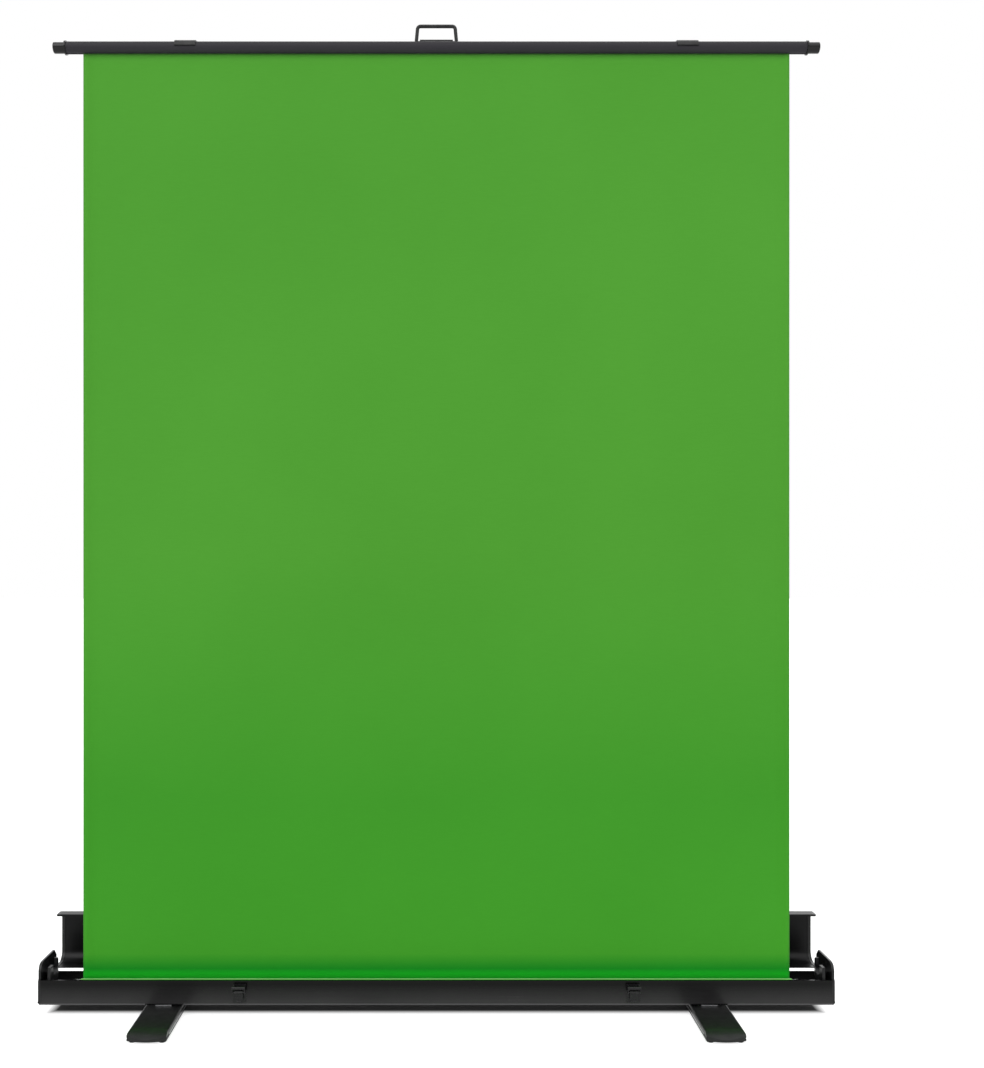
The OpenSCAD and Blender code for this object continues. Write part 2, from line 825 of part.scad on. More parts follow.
module elbow_end(y0, y1) {
    lap = 30;
    half = arm_width / 2;
    difference() {
        union() {
            translate([arm_s - elbow_fitting, 0, -half]) cube([elbow_fitting - lap, arm_depth, arm_width]);
            along_y(y0, y1) {
                translate([arm_s, elbow_off]) circle(r = elbow_r);
                polygon([[arm_s - lap - 1, -half], [arm_s + 2, -half], [arm_s + elbow_r, -2],
                    [arm_s + elbow_r, elbow_off], [arm_s - elbow_r, elbow_off], [arm_s - lap + 4, half],
                    [arm_s - lap - 1, half]]);
            }
            arm_spigot(arm_s - elbow_fitting - 24, arm_s - elbow_fitting);
        }
        translate([arm_s, 0, elbow_off]) pin_y(pivot_d + 2 * run_clear, -1, arm_depth + 1);
    }
}

module lower_fittings() {
    root_end(run_clear);
    elbow_end(0, (arm_depth - face_gap) / 2);
}

module upper_fittings(bore) {
    root_end(bore);
    elbow_end((arm_depth + face_gap) / 2, arm_depth);
}

module elbow_pin() {
    translate([arm_s, 0, elbow_off]) {
        pin_y(pivot_d, 0, arm_depth + face_gap);
        pin_y(pin_head_d, -2, 0);
        pin_y(pin_head_d, arm_depth + face_gap, arm_depth + face_gap + 2);
    }
}

module clamp_channel(y0, y1, side) {
    x0 = strut_reach - strut_clamp / 2;
    half = arm_width / 2;
    face = side > 0 ? arm_depth : -strut_plate;
    along_y(face, face + strut_plate) {
        translate([x0, -half - strut_plate]) square([strut_clamp, arm_width + 2 * strut_plate]);
        translate([strut_reach, grip_n]) circle(d = 18);
    }
    for (z = [-half - strut_plate, half]) translate([x0, y0, z]) cube([strut_clamp, y1 - y0, strut_plate]);
}

module lower_left_tube() {
    color(grey) left_chain() lower_place() arm_tube();
}

module lower_left_fittings() {
    color(black) left_chain() lower_place() lower_fittings();
}

module lower_left_clamp() {
    color(black) left_chain() lower_place() clamp_channel(-strut_plate, arm_depth - 2, -1);
}

module left_elbow_pin() {
    color(steel) left_chain() lower_place() elbow_pin();
}

module lower_right_tube() {
    color(grey) right_chain() lower_place() arm_tube();
}

module lower_right_fittings() {
    color(black) right_chain() lower_place() lower_fittings();
}

module lower_right_clamp() {
    color(black) right_chain() lower_place() clamp_channel(2, arm_depth + strut_plate, 1);
}

module right_elbow_pin() {
    color(steel) right_chain() lower_place() elbow_pin();
}

module upper_left_tube() {
    color(grey) left_chain() upper_place() arm_tube();
}

module upper_left_fittings() {
    color(black) left_chain() upper_place() upper_fittings(run_clear);
}

module upper_right_tube() {
    color(grey) right_chain() upper_place() arm_tube();
}

module upper_right_fittings() {
    color(black) right_chain() upper_place() upper_fittings(open_clear);
}

module arm_clip() {
    half = arm_width / 2;
    color(black) right_chain() upper_place() translate([clip_reach, 0, 0]) difference() {
        translate([-9, -1, -half - 2]) cube([18, arm_depth + 3, arm_width + 4]);
        translate([-10, 0, -half]) cube([20, arm_depth, arm_width]);
        translate([-10, -2, -half + 5]) cube([20, 3, arm_width - 10]);
    }
}

// Top bar with its clamps and handle

module top_bar_tube() {
    color(grey) along_x(-bar_tube_half, bar_tube_half) difference() {
        translate([bar_y, bar_z]) circle(d = bar_d, $fn = 48);
        translate([bar_y, bar_z]) circle(d = bar_d - 2 * bar_wall, $fn = 48);
        translate([bar_y - slot_w / 2, bar_z - bar_d]) square([slot_w, bar_d - 3]);
    }
}

module bar_end_plugs() {
    r = tip_d / 2;
    inner = bar_d / 2 - bar_wall - 0.1;
    color(black) both_sides() translate([bar_tube_half, bar_y, bar_z]) rotate([0, 90, 0]) rotate_extrude($fn = 48) {
        translate([0, -plug_spigot]) square([inner, plug_spigot]);
        square([bar_d / 2 + collar_lip, collar]);
        square([r, collar + tip_length - tip_round]);
        square([r - tip_round, collar + tip_length]);
        translate([r - tip_round, collar + tip_length - tip_round]) intersection() {
            circle(r = tip_round);
            square([tip_round, tip_round]);
        }
    }
}

module screen_welt() {
    color(green) translate([0, bar_y, welt_z]) pin_x(welt_d, -welt_half, welt_half);
}

module saddle(half_width, front) {
    translate([0, bar_y, bar_z]) along_x(-half_width, half_width) difference() {
        intersection() {
            circle(r = bar_d / 2 + 2.5, $fn = 48);
            translate([front, 0]) square([2 * bar_d, bar_d]);
        }
        circle(d = bar_d + 0.1, $fn = 48);
    }
}

module clamp_block(y1, low) {
    translate([0, bar_y, bar_z]) along_x(-clamp_length / 2, clamp_length / 2) difference() {
        translate([8, low]) square([y1 - bar_y - 8, 18 - low]);
        circle(d = bar_d + 0.1, $fn = 48);
    }
}

module arm_clamps() {
    ya = layer_a - face_gap;
    yb = layer_b - face_gap;
    color(black) {
        translate([-pivot_x, 0, 0]) {
            saddle(clamp_length / 2, -bar_d);
            clamp_block(ya, -6);
        }
        translate([pivot_x, 0, 0]) {
            saddle(clamp_length / 2, -bar_d);
            clamp_block(0, -6);
            clamp_block(yb, 8);
            translate([-clamp_length / 2, yb - 2.4, bar_z - 6]) cube([clamp_length, 2.4, 24]);
        }
    }
}

module clamp_pins() {
    ya = layer_a - face_gap;
    yb = layer_b - face_gap;
    reach = arm_depth + 2 * face_gap;
    color(steel) for (p = [[-pivot_x, ya], [pivot_x, yb]]) translate([p[0], p[1], bar_z + top_up]) {
        pin_y(pivot_d, 0, reach);
        pin_y(pin_head_d, reach, reach + 2);
    }
}

module handle_bracket() {
    foot_half = bail_half - bail_wire / 2;
    plate_rise = bail_z - bar_z + bail_wire / 2 + 0.9;
    color(black) difference() {
        union() {
            saddle(foot_half, 2);
            intersection() {
                translate([0, bar_y, bar_z]) along_x(-foot_half, foot_half) difference() {
                    translate([6.5, 0]) square([10, plate_rise]);
                    circle(d = bar_d + 0.1, $fn = 48);
                }
                along_y(bar_y, bar_y + 30) polygon([[-foot_half, bar_z - 1], [foot_half, bar_z - 1],
                    [foot_half - 3, bar_z + plate_rise], [3 - foot_half, bar_z + plate_rise]]);
            }
        }
        translate([0, bail_y, bail_z]) pin_x(bail_wire + 2 * run_clear, -bail_width, bail_width);
    }
}

module bail_handle() {
    color(steel) translate([0, bail_y, bail_z]) {
        both_sides() {
            pin_x(bail_wire, bail_half - 16, bail_half);
            translate([bail_half, 0, -bail_wire / 2])
                cylinder(d = bail_wire, h = bail_rise - bail_bend + bail_wire / 2);
            translate([bail_half - bail_bend, 0, bail_rise - bail_bend]) rotate([90, 0, 0])
                rotate_extrude(angle = 90) translate([bail_bend, 0]) circle(d = bail_wire);
        }
        translate([0, 0, bail_rise]) pin_x(bail_wire, bail_bend - bail_half, bail_half - bail_bend);
    }
}

// Gas struts, each drawn along X from its lower pivot

module left_strut_place() {
    translate([strut_x, strut_ya, strut_z]) mirror([1, 0, 0]) rotate([0, -strut_lift, 0]) children();
}

module right_strut_place() {
    translate([-strut_x, strut_yb, strut_z]) rotate([0, -strut_lift, 0]) children();
}

module strut_cylinder() {
    difference() {
        union() {
            pin_x(strut_d, strut_body0, strut_body1);
            pin_y(16, -strut_eye / 2, strut_eye / 2);
            translate([0, -strut_eye / 2, -5]) cube([strut_body0 + 1, strut_eye, 10]);
            pin_x(strut_d - 2, strut_body1, strut_body1 + 3);
        }
        pin_x(strut_d - 3, strut_body0 + 6, strut_body1 - 10);
        pin_x(strut_rod_d + 2 * run_clear, strut_body1 - 11, strut_body1 + 4);
        pin_y(pivot_d + 2 * run_clear, -strut_d, strut_d);
    }
}

module strut_rod() {
    pin_x(strut_rod_d, strut_body1 - piston_back, strut_long - 12);
    pin_x(strut_d - 3.2, strut_body1 - piston_back, strut_body1 - piston_back + piston_length);
}

module strut_end(side) {
    reach = strut_d / 2 + 0.5 - face_gap;
    difference() {
        union() {
            pin_x(11, strut_long - 16, strut_long - 5);
            translate([strut_long, 0, 0]) pin_y(15, -4.5, 4.5);
            translate([strut_long, 0, 0]) pin_y(pivot_d, side > 0 ? 0 : -reach, side > 0 ? reach : 0);
        }
        pin_x(strut_rod_d + 0.1, strut_long - 20, strut_long - 12);
    }
}

module left_strut_cylinder() {
    color(black) left_strut_place() strut_cylinder();
}

module left_strut_rod() {
    color(steel) left_strut_place() strut_rod();
}

module left_strut_end() {
    color(black) left_strut_place() strut_end(1);
}

module right_strut_cylinder() {
    color(black) right_strut_place() strut_cylinder();
}

module right_strut_rod() {
    color(steel) right_strut_place() strut_rod();
}

module right_strut_end() {
    color(black) right_strut_place() strut_end(-1);
}

base_tray();
left_end_cap();
right_end_cap();
arm_base_brackets();
strut_base_brackets();
arm_base_pins();
lid_hinge_ears();
lid_hinge_pins();
latch_plates();
roller_axle();
roller_spring();
foot_bolts();
foot_washers();
screen_fabric();
roller_tube();
roller_plugs();
screen_wraps();
left_foot_bar();
left_foot_ends();
left_foot_pads();
right_foot_bar();
right_foot_ends();
right_foot_pads();
left_latch_lever();
left_latch_claw();
right_latch_lever();
right_latch_claw();
lid_shell();
lid_hinge_lugs();
lid_end_trims();
latch_catches();
carry_brackets();
carry_grip();
lower_left_tube();
lower_left_fittings();
lower_left_clamp();
left_elbow_pin();
lower_right_tube();
lower_right_fittings();
lower_right_clamp();
right_elbow_pin();
upper_left_tube();
upper_left_fittings();
upper_right_tube();
upper_right_fittings();
arm_clip();
top_bar_tube();
bar_end_plugs();
arm_clamps();
clamp_pins();
handle_bracket();
bail_handle();
screen_welt();
left_strut_cylinder();
left_strut_rod();
left_strut_end();
right_strut_cylinder();
right_strut_rod();
right_strut_end();
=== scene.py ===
import bpy, bmesh, math
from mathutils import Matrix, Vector


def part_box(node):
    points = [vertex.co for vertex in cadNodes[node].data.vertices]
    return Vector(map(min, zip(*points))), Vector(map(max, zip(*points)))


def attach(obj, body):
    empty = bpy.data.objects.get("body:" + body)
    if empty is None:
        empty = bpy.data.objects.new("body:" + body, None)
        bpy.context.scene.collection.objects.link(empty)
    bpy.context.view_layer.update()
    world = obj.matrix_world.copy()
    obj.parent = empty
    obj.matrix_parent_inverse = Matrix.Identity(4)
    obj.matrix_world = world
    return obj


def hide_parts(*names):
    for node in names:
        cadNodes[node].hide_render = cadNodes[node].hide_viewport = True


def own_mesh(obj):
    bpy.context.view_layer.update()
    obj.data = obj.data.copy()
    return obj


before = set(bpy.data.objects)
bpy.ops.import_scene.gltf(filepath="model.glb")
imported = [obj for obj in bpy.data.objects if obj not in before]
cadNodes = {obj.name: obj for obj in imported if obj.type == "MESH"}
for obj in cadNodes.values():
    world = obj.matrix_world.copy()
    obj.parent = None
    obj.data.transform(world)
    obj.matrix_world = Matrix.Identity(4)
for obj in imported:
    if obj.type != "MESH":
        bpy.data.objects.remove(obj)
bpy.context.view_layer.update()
print("frame loaded,", len(cadNodes), "CAD nodes")

mm = 0.001

# level camera; the shifts, in rows of the picture, put the panel low and left of the middle
cameraPlan = {"place": (0.0, -2.46, 0.9), "lens": 39.24, "sensor": 36.0, "far": 60.0,
    "rows": 1068, "shiftX": 55.6, "shiftY": 47.2}

def setCamera():
    data = bpy.data.cameras.new("frontCamera")
    data.sensor_fit = "VERTICAL"
    data.sensor_height = cameraPlan["sensor"]
    data.lens = cameraPlan["lens"]
    data.shift_x = cameraPlan["shiftX"] / cameraPlan["rows"]
    data.shift_y = cameraPlan["shiftY"] / cameraPlan["rows"]
    data.clip_end = cameraPlan["far"]
    cam = bpy.data.objects.new("frontCamera", data)
    cam.location = cameraPlan["place"]
    cam.rotation_euler = (math.radians(90), 0, 0)
    bpy.context.scene.collection.objects.link(cam)
    bpy.context.scene.camera = cam

setCamera()
bpy.context.scene.view_settings.view_transform = "Standard"
print("camera set")

# node helpers for the finishes
def startFinish(name, **sockets):
    mat = bpy.data.materials.new(name)
    mat.use_nodes = True
    tree = mat.node_tree
    shader = tree.nodes["Principled BSDF"]
    for key, value in sockets.items():
        shader.inputs[key.replace("_", " ")].default_value = value
    where = tree.nodes.new("ShaderNodeTexCoord").outputs["Object"]
    return mat, tree, shader, where

def stretch(tree, where, scale):
    node = tree.nodes.new("ShaderNodeMapping")
    node.inputs["Scale"].default_value = scale
    tree.links.new(where, node.inputs["Vector"])
    return node.outputs["Vector"]

def noise(tree, where, scale, detail, rough):
    node = tree.nodes.new("ShaderNodeTexNoise")
    node.inputs["Scale"].default_value = scale
    node.inputs["Detail"].default_value = detail
    node.inputs["Roughness"].default_value = rough
    tree.links.new(where, node.inputs["Vector"])
    return node.outputs["Fac"]

def spread(tree, value, low, high, a=0.3, b=0.7):
    node = tree.nodes.new("ShaderNodeMapRange")
    node.inputs["From Min"].default_value = a
    node.inputs["From Max"].default_value = b
    node.inputs["To Min"].default_value = low
    node.inputs["To Max"].default_value = high
    tree.links.new(value, node.inputs["Value"])
    return node.outputs["Result"]

def blendColour(tree, value, dark, light):
    node = tree.nodes.new("ShaderNodeMix")
    node.data_type = "RGBA"
    node.inputs["A"].default_value = (*dark, 1)
    node.inputs["B"].default_value = (*light, 1)
    tree.links.new(value, node.inputs["Factor"])
    return node.outputs["Result"]

def joinValues(tree, how, a, b):
    node = tree.nodes.new("ShaderNodeMath")
    node.operation = how
    for socket, value in zip(node.inputs, (a, b)):
        if isinstance(value, (int, float)):
            socket.default_value = value
        else:
            tree.links.new(value, socket)
    return node.outputs["Value"]

def addBump(tree, shader, height, strength, depth):
    node = tree.nodes.new("ShaderNodeBump")
    node.inputs["Strength"].default_value = strength
    node.inputs["Distance"].default_value = depth
    tree.links.new(height, node.inputs["Height"])
    if shader.inputs["Normal"].links:
        tree.links.new(shader.inputs["Normal"].links[0].from_socket, node.inputs["Normal"])
    tree.links.new(node.outputs["Normal"], shader.inputs["Normal"])

def weightedSum(tree, a, shareA, b, shareB):
    return joinValues(tree, "ADD", joinValues(tree, "MULTIPLY", a, shareA), joinValues(tree, "MULTIPLY", b, shareB))

def splitAxes(tree, where):
    node = tree.nodes.new("ShaderNodeSeparateXYZ")
    tree.links.new(where, node.inputs["Vector"])
    return node.outputs

def paintLightByHeight(tree, where, colour, paintedLightFade):
    # paintedLightFade is (low, high, gain at low, gain at high): the colour is scaled by height as painted light and
    # shade, paler at the foot of the case's wall and on the underside of the bar, darker at their tops
    low, high, gainLow, gainHigh = paintedLightFade
    gain = tree.nodes.new("ShaderNodeVectorMath")
    gain.operation = "SCALE"
    tree.links.new(colour, gain.inputs[0])
    tree.links.new(spread(tree, splitAxes(tree, where)["Z"], gainLow, gainHigh, low, high), gain.inputs["Scale"])
    return gain.outputs["Vector"]

def lay(tree, shader, colour, polish):
    tree.links.new(colour, shader.inputs["Base Color"])
    tree.links.new(polish, shader.inputs["Roughness"])

def drawnAluminium(name, dark, light, run, rough, metal=0.35, shine=0.3, paintedLightFade=None):
    # satin anodised extrusion: long die lines along the run, faint handling marks across
    mat, tree, shader, where = startFinish(name, Metallic=metal, Specular_IOR_Level=shine)
    dieLines = noise(tree, stretch(tree, where, run), scale=1.0, detail=2.0, rough=0.5)
    marks = noise(tree, where, scale=9.0, detail=5.0, rough=0.6)
    tone = weightedSum(tree, dieLines, 0.45, marks, 0.55)
    colour = blendColour(tree, spread(tree, tone, 0, 1), dark, light)
    # painted light and shade: the colour is scaled by height
    if paintedLightFade:
        colour = paintLightByHeight(tree, where, colour, paintedLightFade)
    lay(tree, shader, colour, spread(tree, tone, *rough))
    addBump(tree, shader, dieLines, strength=0.12, depth=0.4 * mm)
    return mat

def mouldedPlastic(name, dark, light, rough, grain=2600.0, lift=0.25):
    # spark-eroded grain with a slow change of tone
    mat, tree, shader, where = startFinish(name, Specular_IOR_Level=0.28)
    fine = noise(tree, where, scale=grain, detail=2.0, rough=0.6)
    slow = noise(tree, where, scale=22.0, detail=4.0, rough=0.55)
    polish = weightedSum(tree, fine, 0.4, slow, 0.6)
    lay(tree, shader, blendColour(tree, spread(tree, slow, 0, 1), dark, light), spread(tree, polish, *rough))
    addBump(tree, shader, fine, strength=lift, depth=0.12 * mm)
    return mat

def coatedSteel(name, dark, light, rough=(0.42, 0.58)):
    # powder coat: orange peel, a few rubbed spots
    mat, tree, shader, where = startFinish(name, Specular_IOR_Level=0.28)
    peel = noise(tree, where, scale=700.0, detail=2.0, rough=0.5)
    rubbed = noise(tree, where, scale=60.0, detail=6.0, rough=0.65)
    tone = spread(tree, rubbed, 0, 1, a=0.35, b=0.72)
    lay(tree, shader, blendColour(tree, tone, dark, light), spread(tree, rubbed, rough[1], rough[0]))
    addBump(tree, shader, peel, strength=0.3, depth=0.2 * mm)
    return mat

def brightMetal(name, dark, light, rough, scratch):
    # bare or plated metal with fine scratches
    mat, tree, shader, where = startFinish(name, Metallic=1.0)
    lines = noise(tree, stretch(tree, where, scratch), scale=1.0, detail=3.0, rough=0.6)
    lay(tree, shader, blendColour(tree, spread(tree, lines, 0, 1), dark, light), spread(tree, lines, *rough))
    addBump(tree, shader, lines, strength=0.08, depth=0.1 * mm)
    return mat

def padRubber(name, dark, light, rough):
    # dull speckled rubber
    mat, tree, shader, where = startFinish(name)
    speck = noise(tree, where, scale=900.0, detail=4.0, rough=0.7)
    lay(tree, shader, blendColour(tree, spread(tree, speck, 0, 1), dark, light), spread(tree, speck, *rough))
    addBump(tree, shader, speck, strength=0.35, depth=0.2 * mm)
    return mat

# paintedShadeSteps are (height, factors on the colour): the cloth is a deeper green towards the bottom, and the
# steps just above the case are painted shade from the case's lip
# a wave texture of scale s repeats every waveLength / s metres; pitch is the width of a thread
clothLook = {"pitch": 0.00062, "waveLength": 0.314,
    "dark": (0.0618, 0.311, 0.0187), "light": (0.0767, 0.349, 0.026),
    "paintedShadeSteps": ((0.076, (0.01, 1.36, 0.40)), (0.088, (0.01, 0.78, 0.31)), (0.119, (0.685, 1.01, 0.62)),
        (0.44, (0.63, 0.935, 0.60)), (0.96, (1.0, 1.0, 1.0)))}

def paintShadeDown(tree, colour):
    # restHeight is kept on the cloth's points, so the painted shade stays with the cloth when it is wound in
    level = tree.nodes.new("ShaderNodeAttribute")
    level.attribute_name = "restHeight"
    for (low, tint), (high, above) in zip(clothLook["paintedShadeSteps"], clothLook["paintedShadeSteps"][1:]):
        ratio = [a / b for a, b in zip(tint, above)]
        step = tree.nodes.new("ShaderNodeMix")
        step.data_type = "RGBA"
        step.blend_type = "MULTIPLY"
        step.inputs["B"].default_value = (*ratio, 1)
        tree.links.new(spread(tree, level.outputs["Fac"], 1.0, 0.0, low, high), step.inputs["Factor"])
        tree.links.new(colour, step.inputs["A"])
        colour = step.outputs["Result"]
    return colour

def wovenGreen(name, shaded, lift=1.0, sheen=0.12):
    # plain weave from two crossed thread waves, with slubs and a slow drift of the dye
    mat, tree, shader, where = startFinish(name, Sheen_Weight=sheen, Sheen_Roughness=0.5, Specular_IOR_Level=0.25)
    threads = []
    for axis in ("X", "Z"):
        wave = tree.nodes.new("ShaderNodeTexWave")
        wave.bands_direction = axis
        wave.inputs["Scale"].default_value = clothLook["waveLength"] / clothLook["pitch"]
        wave.inputs["Distortion"].default_value = 0.6
        wave.inputs["Detail"].default_value = 1.0
        tree.links.new(where, wave.inputs["Vector"])
        threads.append(wave.outputs["Fac"])
    weave = joinValues(tree, "MAXIMUM", threads[0], threads[1])
    slub = noise(tree, stretch(tree, where, (40, 40, 900)), scale=1.0, detail=3.0, rough=0.6)
    drift = noise(tree, where, scale=1.6, detail=3.0, rough=0.5)
    tone = weightedSum(tree, slub, 0.35, drift, 0.65)
    # lift scales the colour; above 1 it is painted light
    dark, light = [tuple(lift * c for c in clothLook[key]) for key in ("dark", "light")]
    colour = blendColour(tree, spread(tree, tone, 0, 1), dark, light)
    # painted shade low on the cloth, darkest just above the case
    if shaded:
        colour = paintShadeDown(tree, colour)
    lay(tree, shader, colour, spread(tree, weave, 0.95, 0.78, a=0, b=1))
    addBump(tree, shader, weave, strength=0.25, depth=0.15 * mm)
    addBump(tree, shader, slub, strength=0.1, depth=0.3 * mm)
    return mat

trayLow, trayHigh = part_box("base_tray")
barLow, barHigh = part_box("top_bar_tube")
lipHeight = 9 * mm  # the case's painted light ends this far below the tray's top edge

finishes = {
    # the case wall's colour is paler towards its foot and darkens to black near its top edge: painted light, as if
    # from the white floor
    "case": drawnAluminium("caseAnodised", (0.010, 0.0097, 0.010), (0.0165, 0.016, 0.0165), (3, 900, 900),
        (0.2, 0.28), shine=0.26, paintedLightFade=(trayLow.z, trayHigh.z - lipHeight, 2.7, 0.0)),
    # the lid's colour is a darker copy of the case's: painted shade
    "lid": drawnAluminium("lidAnodisedPaintedShade", (0.003, 0.003, 0.0033), (0.006, 0.0058, 0.0063), (3, 900, 900),
        (0.3, 0.4), shine=0.21),
    "endCap": mouldedPlastic("endCapBlack", (0.004, 0.004, 0.0045), (0.009, 0.009, 0.0095), (0.24, 0.36),
        grain=1400.0, lift=0.1),
    # the bar tube's colour is darker on its top and paler underneath: painted shade and painted light
    "bar": drawnAluminium("barAnodised", (0.021, 0.0197, 0.0245), (0.031, 0.0292, 0.0355), (4, 1100, 1100),
        (0.5, 0.62), metal=0.1, shine=0.22, paintedLightFade=(barLow.z, barHigh.z, 1.4, 0.3)),
    "arm": drawnAluminium("armAnodised", (0.020, 0.0195, 0.021), (0.034, 0.033, 0.0355), (60, 1200, 60),
        (0.32, 0.45)),
    "roller": brightMetal("rollerTube", (0.52, 0.52, 0.53), (0.68, 0.68, 0.69), (0.3, 0.45), (6, 900, 900)),
    "moulded": mouldedPlastic("mouldedBlack", (0.008, 0.008, 0.0085), (0.015, 0.015, 0.0155), (0.42, 0.58)),
    "gloss": mouldedPlastic("glossBlack", (0.002, 0.002, 0.0022), (0.005, 0.005, 0.0053), (0.1, 0.16),
        grain=900.0, lift=0.05),
    "latch": coatedSteel("latchBlack", (0.005, 0.005, 0.0055), (0.011, 0.011, 0.0115), (0.2, 0.32)),
    "grip": mouldedPlastic("gripRubber", (0.014, 0.014, 0.0145), (0.026, 0.026, 0.027), (0.6, 0.75),
        grain=1500.0, lift=0.4),
    "coated": coatedSteel("coatedBlack", (0.008, 0.008, 0.0085), (0.019, 0.019, 0.0195)),
    "foot": coatedSteel("footBlack", (0.009, 0.0093, 0.0093), (0.015, 0.0153, 0.0153), (0.31, 0.41)),
    "zinc": brightMetal("zincPlate", (0.44, 0.445, 0.455), (0.56, 0.565, 0.58), (0.3, 0.46), (300, 300, 300)),
    "chrome": brightMetal("rodChrome", (0.50, 0.505, 0.51), (0.56, 0.565, 0.57), (0.08, 0.16), (150, 1500, 150)),
    "trim": brightMetal("trimSilver", (0.42, 0.42, 0.43), (0.56, 0.56, 0.57), (0.32, 0.45), (900, 8, 900)),
    "rubber": padRubber("padRubber", (0.012, 0.012, 0.012), (0.03, 0.03, 0.029), (0.72, 0.92)),
    "cloth": wovenGreen("wovenGreen", shaded=True),
    # the roll is a lighter copy of the cloth's colour: painted light on the cloth wound inside the case
    "roll": wovenGreen("wovenGreenRollPaintedLight", shaded=False, lift=1.45, sheen=0.5),
}

# which finish and how soft an edge, in mm, each CAD node gets
dressPlan = {
    "case": (["base_tray"], 0.5),
    "lid": (["lid_shell"], 0.5),
    "bar": (["top_bar_tube"], 0.2),
    "arm": (["lower_left_tube", "lower_right_tube", "upper_left_tube", "upper_right_tube"], 1.0),
    "roller": (["roller_tube"], 0.2),
    "endCap": (["left_end_cap", "right_end_cap", "lid_end_trims"], 0.8),
    "moulded": (["lower_left_fittings", "lower_right_fittings", "upper_left_fittings",
        "upper_right_fittings", "arm_clip", "carry_brackets", "handle_bracket", "roller_plugs",
        "left_strut_end", "right_strut_end", "lid_hinge_ears", "lid_hinge_lugs"], 0.8),
    "gloss": (["bar_end_plugs", "carry_grip"], 0.6),
    "latch": (["latch_plates", "left_latch_lever", "right_latch_lever", "left_latch_claw", "right_latch_claw",
        "latch_catches"], 0.5),
    "coated": (["lower_left_clamp", "lower_right_clamp", "arm_clamps", "bail_handle", "left_strut_cylinder",
        "right_strut_cylinder", "arm_base_brackets", "strut_base_brackets"], 0.4),
    "foot": (["left_foot_bar", "right_foot_bar", "left_foot_ends", "right_foot_ends"], 0.0),
    "zinc": (["arm_base_pins", "lid_hinge_pins", "roller_axle", "roller_spring", "foot_bolts", "foot_washers",
        "left_elbow_pin", "right_elbow_pin", "clamp_pins"], 0.4),
    "chrome": (["left_strut_rod", "right_strut_rod"], 0.3),
    "rubber": (["left_foot_pads", "right_foot_pads"], 0.6),
    "roll": (["screen_wraps", "screen_welt", "screen_fabric"], 0.0),
}

# angles in degrees
edgePlan = {"sharpFrom": 32, "bevelFrom": 50, "segments": 2}

def shadeSmooth(mesh, sharpFrom):
    mesh.polygons.foreach_set("use_smooth", [True] * len(mesh.polygons))
    mesh.set_sharp_from_angle(angle=math.radians(sharpFrom))

def softenEdges(obj, width):
    shadeSmooth(obj.data, edgePlan["sharpFrom"])
    if width:
        bevel = obj.modifiers.new("softEdge", "BEVEL")
        bevel.width = width * mm
        bevel.segments = edgePlan["segments"]
        bevel.limit_method = "ANGLE"
        bevel.angle_limit = math.radians(edgePlan["bevelFrom"])
        bevel.harden_normals = True
        bevel.use_clamp_overlap = True

def dressNodes():
    for finish, (names, edge) in dressPlan.items():
        for name in names:
            obj = cadNodes[name]
            obj.data.materials.clear()
            obj.data.materials.append(finishes[finish])
            softenEdges(obj, edge)

dressNodes()
print("CAD nodes dressed")

# mesh helpers for the added pieces
def newPiece(name, verts, faces, finish, body, slot, sharpFrom):
    mesh = bpy.data.meshes.new(name)
    mesh.from_pydata([tuple(v) for v in verts], [], faces)
    mesh.validate()
    bm = bmesh.new()
    bm.from_mesh(mesh)
    bmesh.ops.recalc_face_normals(bm, faces=bm.faces)
    bm.to_mesh(mesh)
    bm.free()
    shadeSmooth(mesh, sharpFrom)
    mesh.materials.append(finishes[finish])
    obj = bpy.data.objects.new(name, mesh)
    bpy.context.scene.collection.objects.link(obj)
    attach(obj, body)
    return obj

def turnedRings(profile, count, place, axis):
    # rings of a turned form: profile is (radius, height) pairs from the seat up
    turn = Vector((0, 0, 1)).rotation_difference(Vector(axis)).to_matrix()
    verts, rings = [], []
    for radius, height in profile:
        ring = []
        for i in range(count):
            a = 2 * math.pi * i / count
            ring.append(len(verts))
            verts.append(turn @ Vector((radius * math.cos(a), radius * math.sin(a), height)) + Vector(place))
        rings.append(ring)
    faces = []
    for low, high in zip(rings, rings[1:]):
        for i in range(count):
            j = (i + 1) % count
            faces.append((low[i], low[j], high[j], high[i]))
    faces.append(tuple(reversed(rings[0])))
    return verts, faces, rings, turn

# shares of a head's radius and height: its outline, the cross and how the recess tapers to its floor
headShape = {"outline": ((1.0, 0.0), (1.0, 0.35), (0.86, 0.78), (0.62, 1.0)), "crossHalf": 0.12, "crossReach": 0.5,
    "taper": 0.8, "floor": 0.45}

def crossScrew(place, axis, radius, height):
    # pan head with a cross recess; the rim has as many points as the cross, so that they meet point for point
    half, reach = headShape["crossHalf"] * radius, headShape["crossReach"] * radius
    arm = [(reach, -half), (reach, half), (half, half)]  # one arm of the cross, turned a quarter at a time
    plus = []
    for quarter in range(4):
        plus += arm
        arm = [(-y, x) for x, y in arm]
    count = len(plus)
    outline = [(across * radius, up * height) for across, up in headShape["outline"]]
    verts, faces, rings, turn = turnedRings(outline, count, place, axis)
    loops = [rings[-1]]
    for taper, up in ((1.0, height), (headShape["taper"], headShape["floor"] * height)):
        loops.append(list(range(len(verts), len(verts) + count)))
        verts += [turn @ Vector((taper * x, taper * y, up)) + Vector(place) for x, y in plus]
    rim, top, floor = loops
    for i in range(count):
        j = (i + 1) % count
        faces.append((rim[i], rim[j], top[j], top[i]))
        faces.append((top[i], top[j], floor[j], floor[i]))
    faces.append(tuple(floor))
    return verts, faces

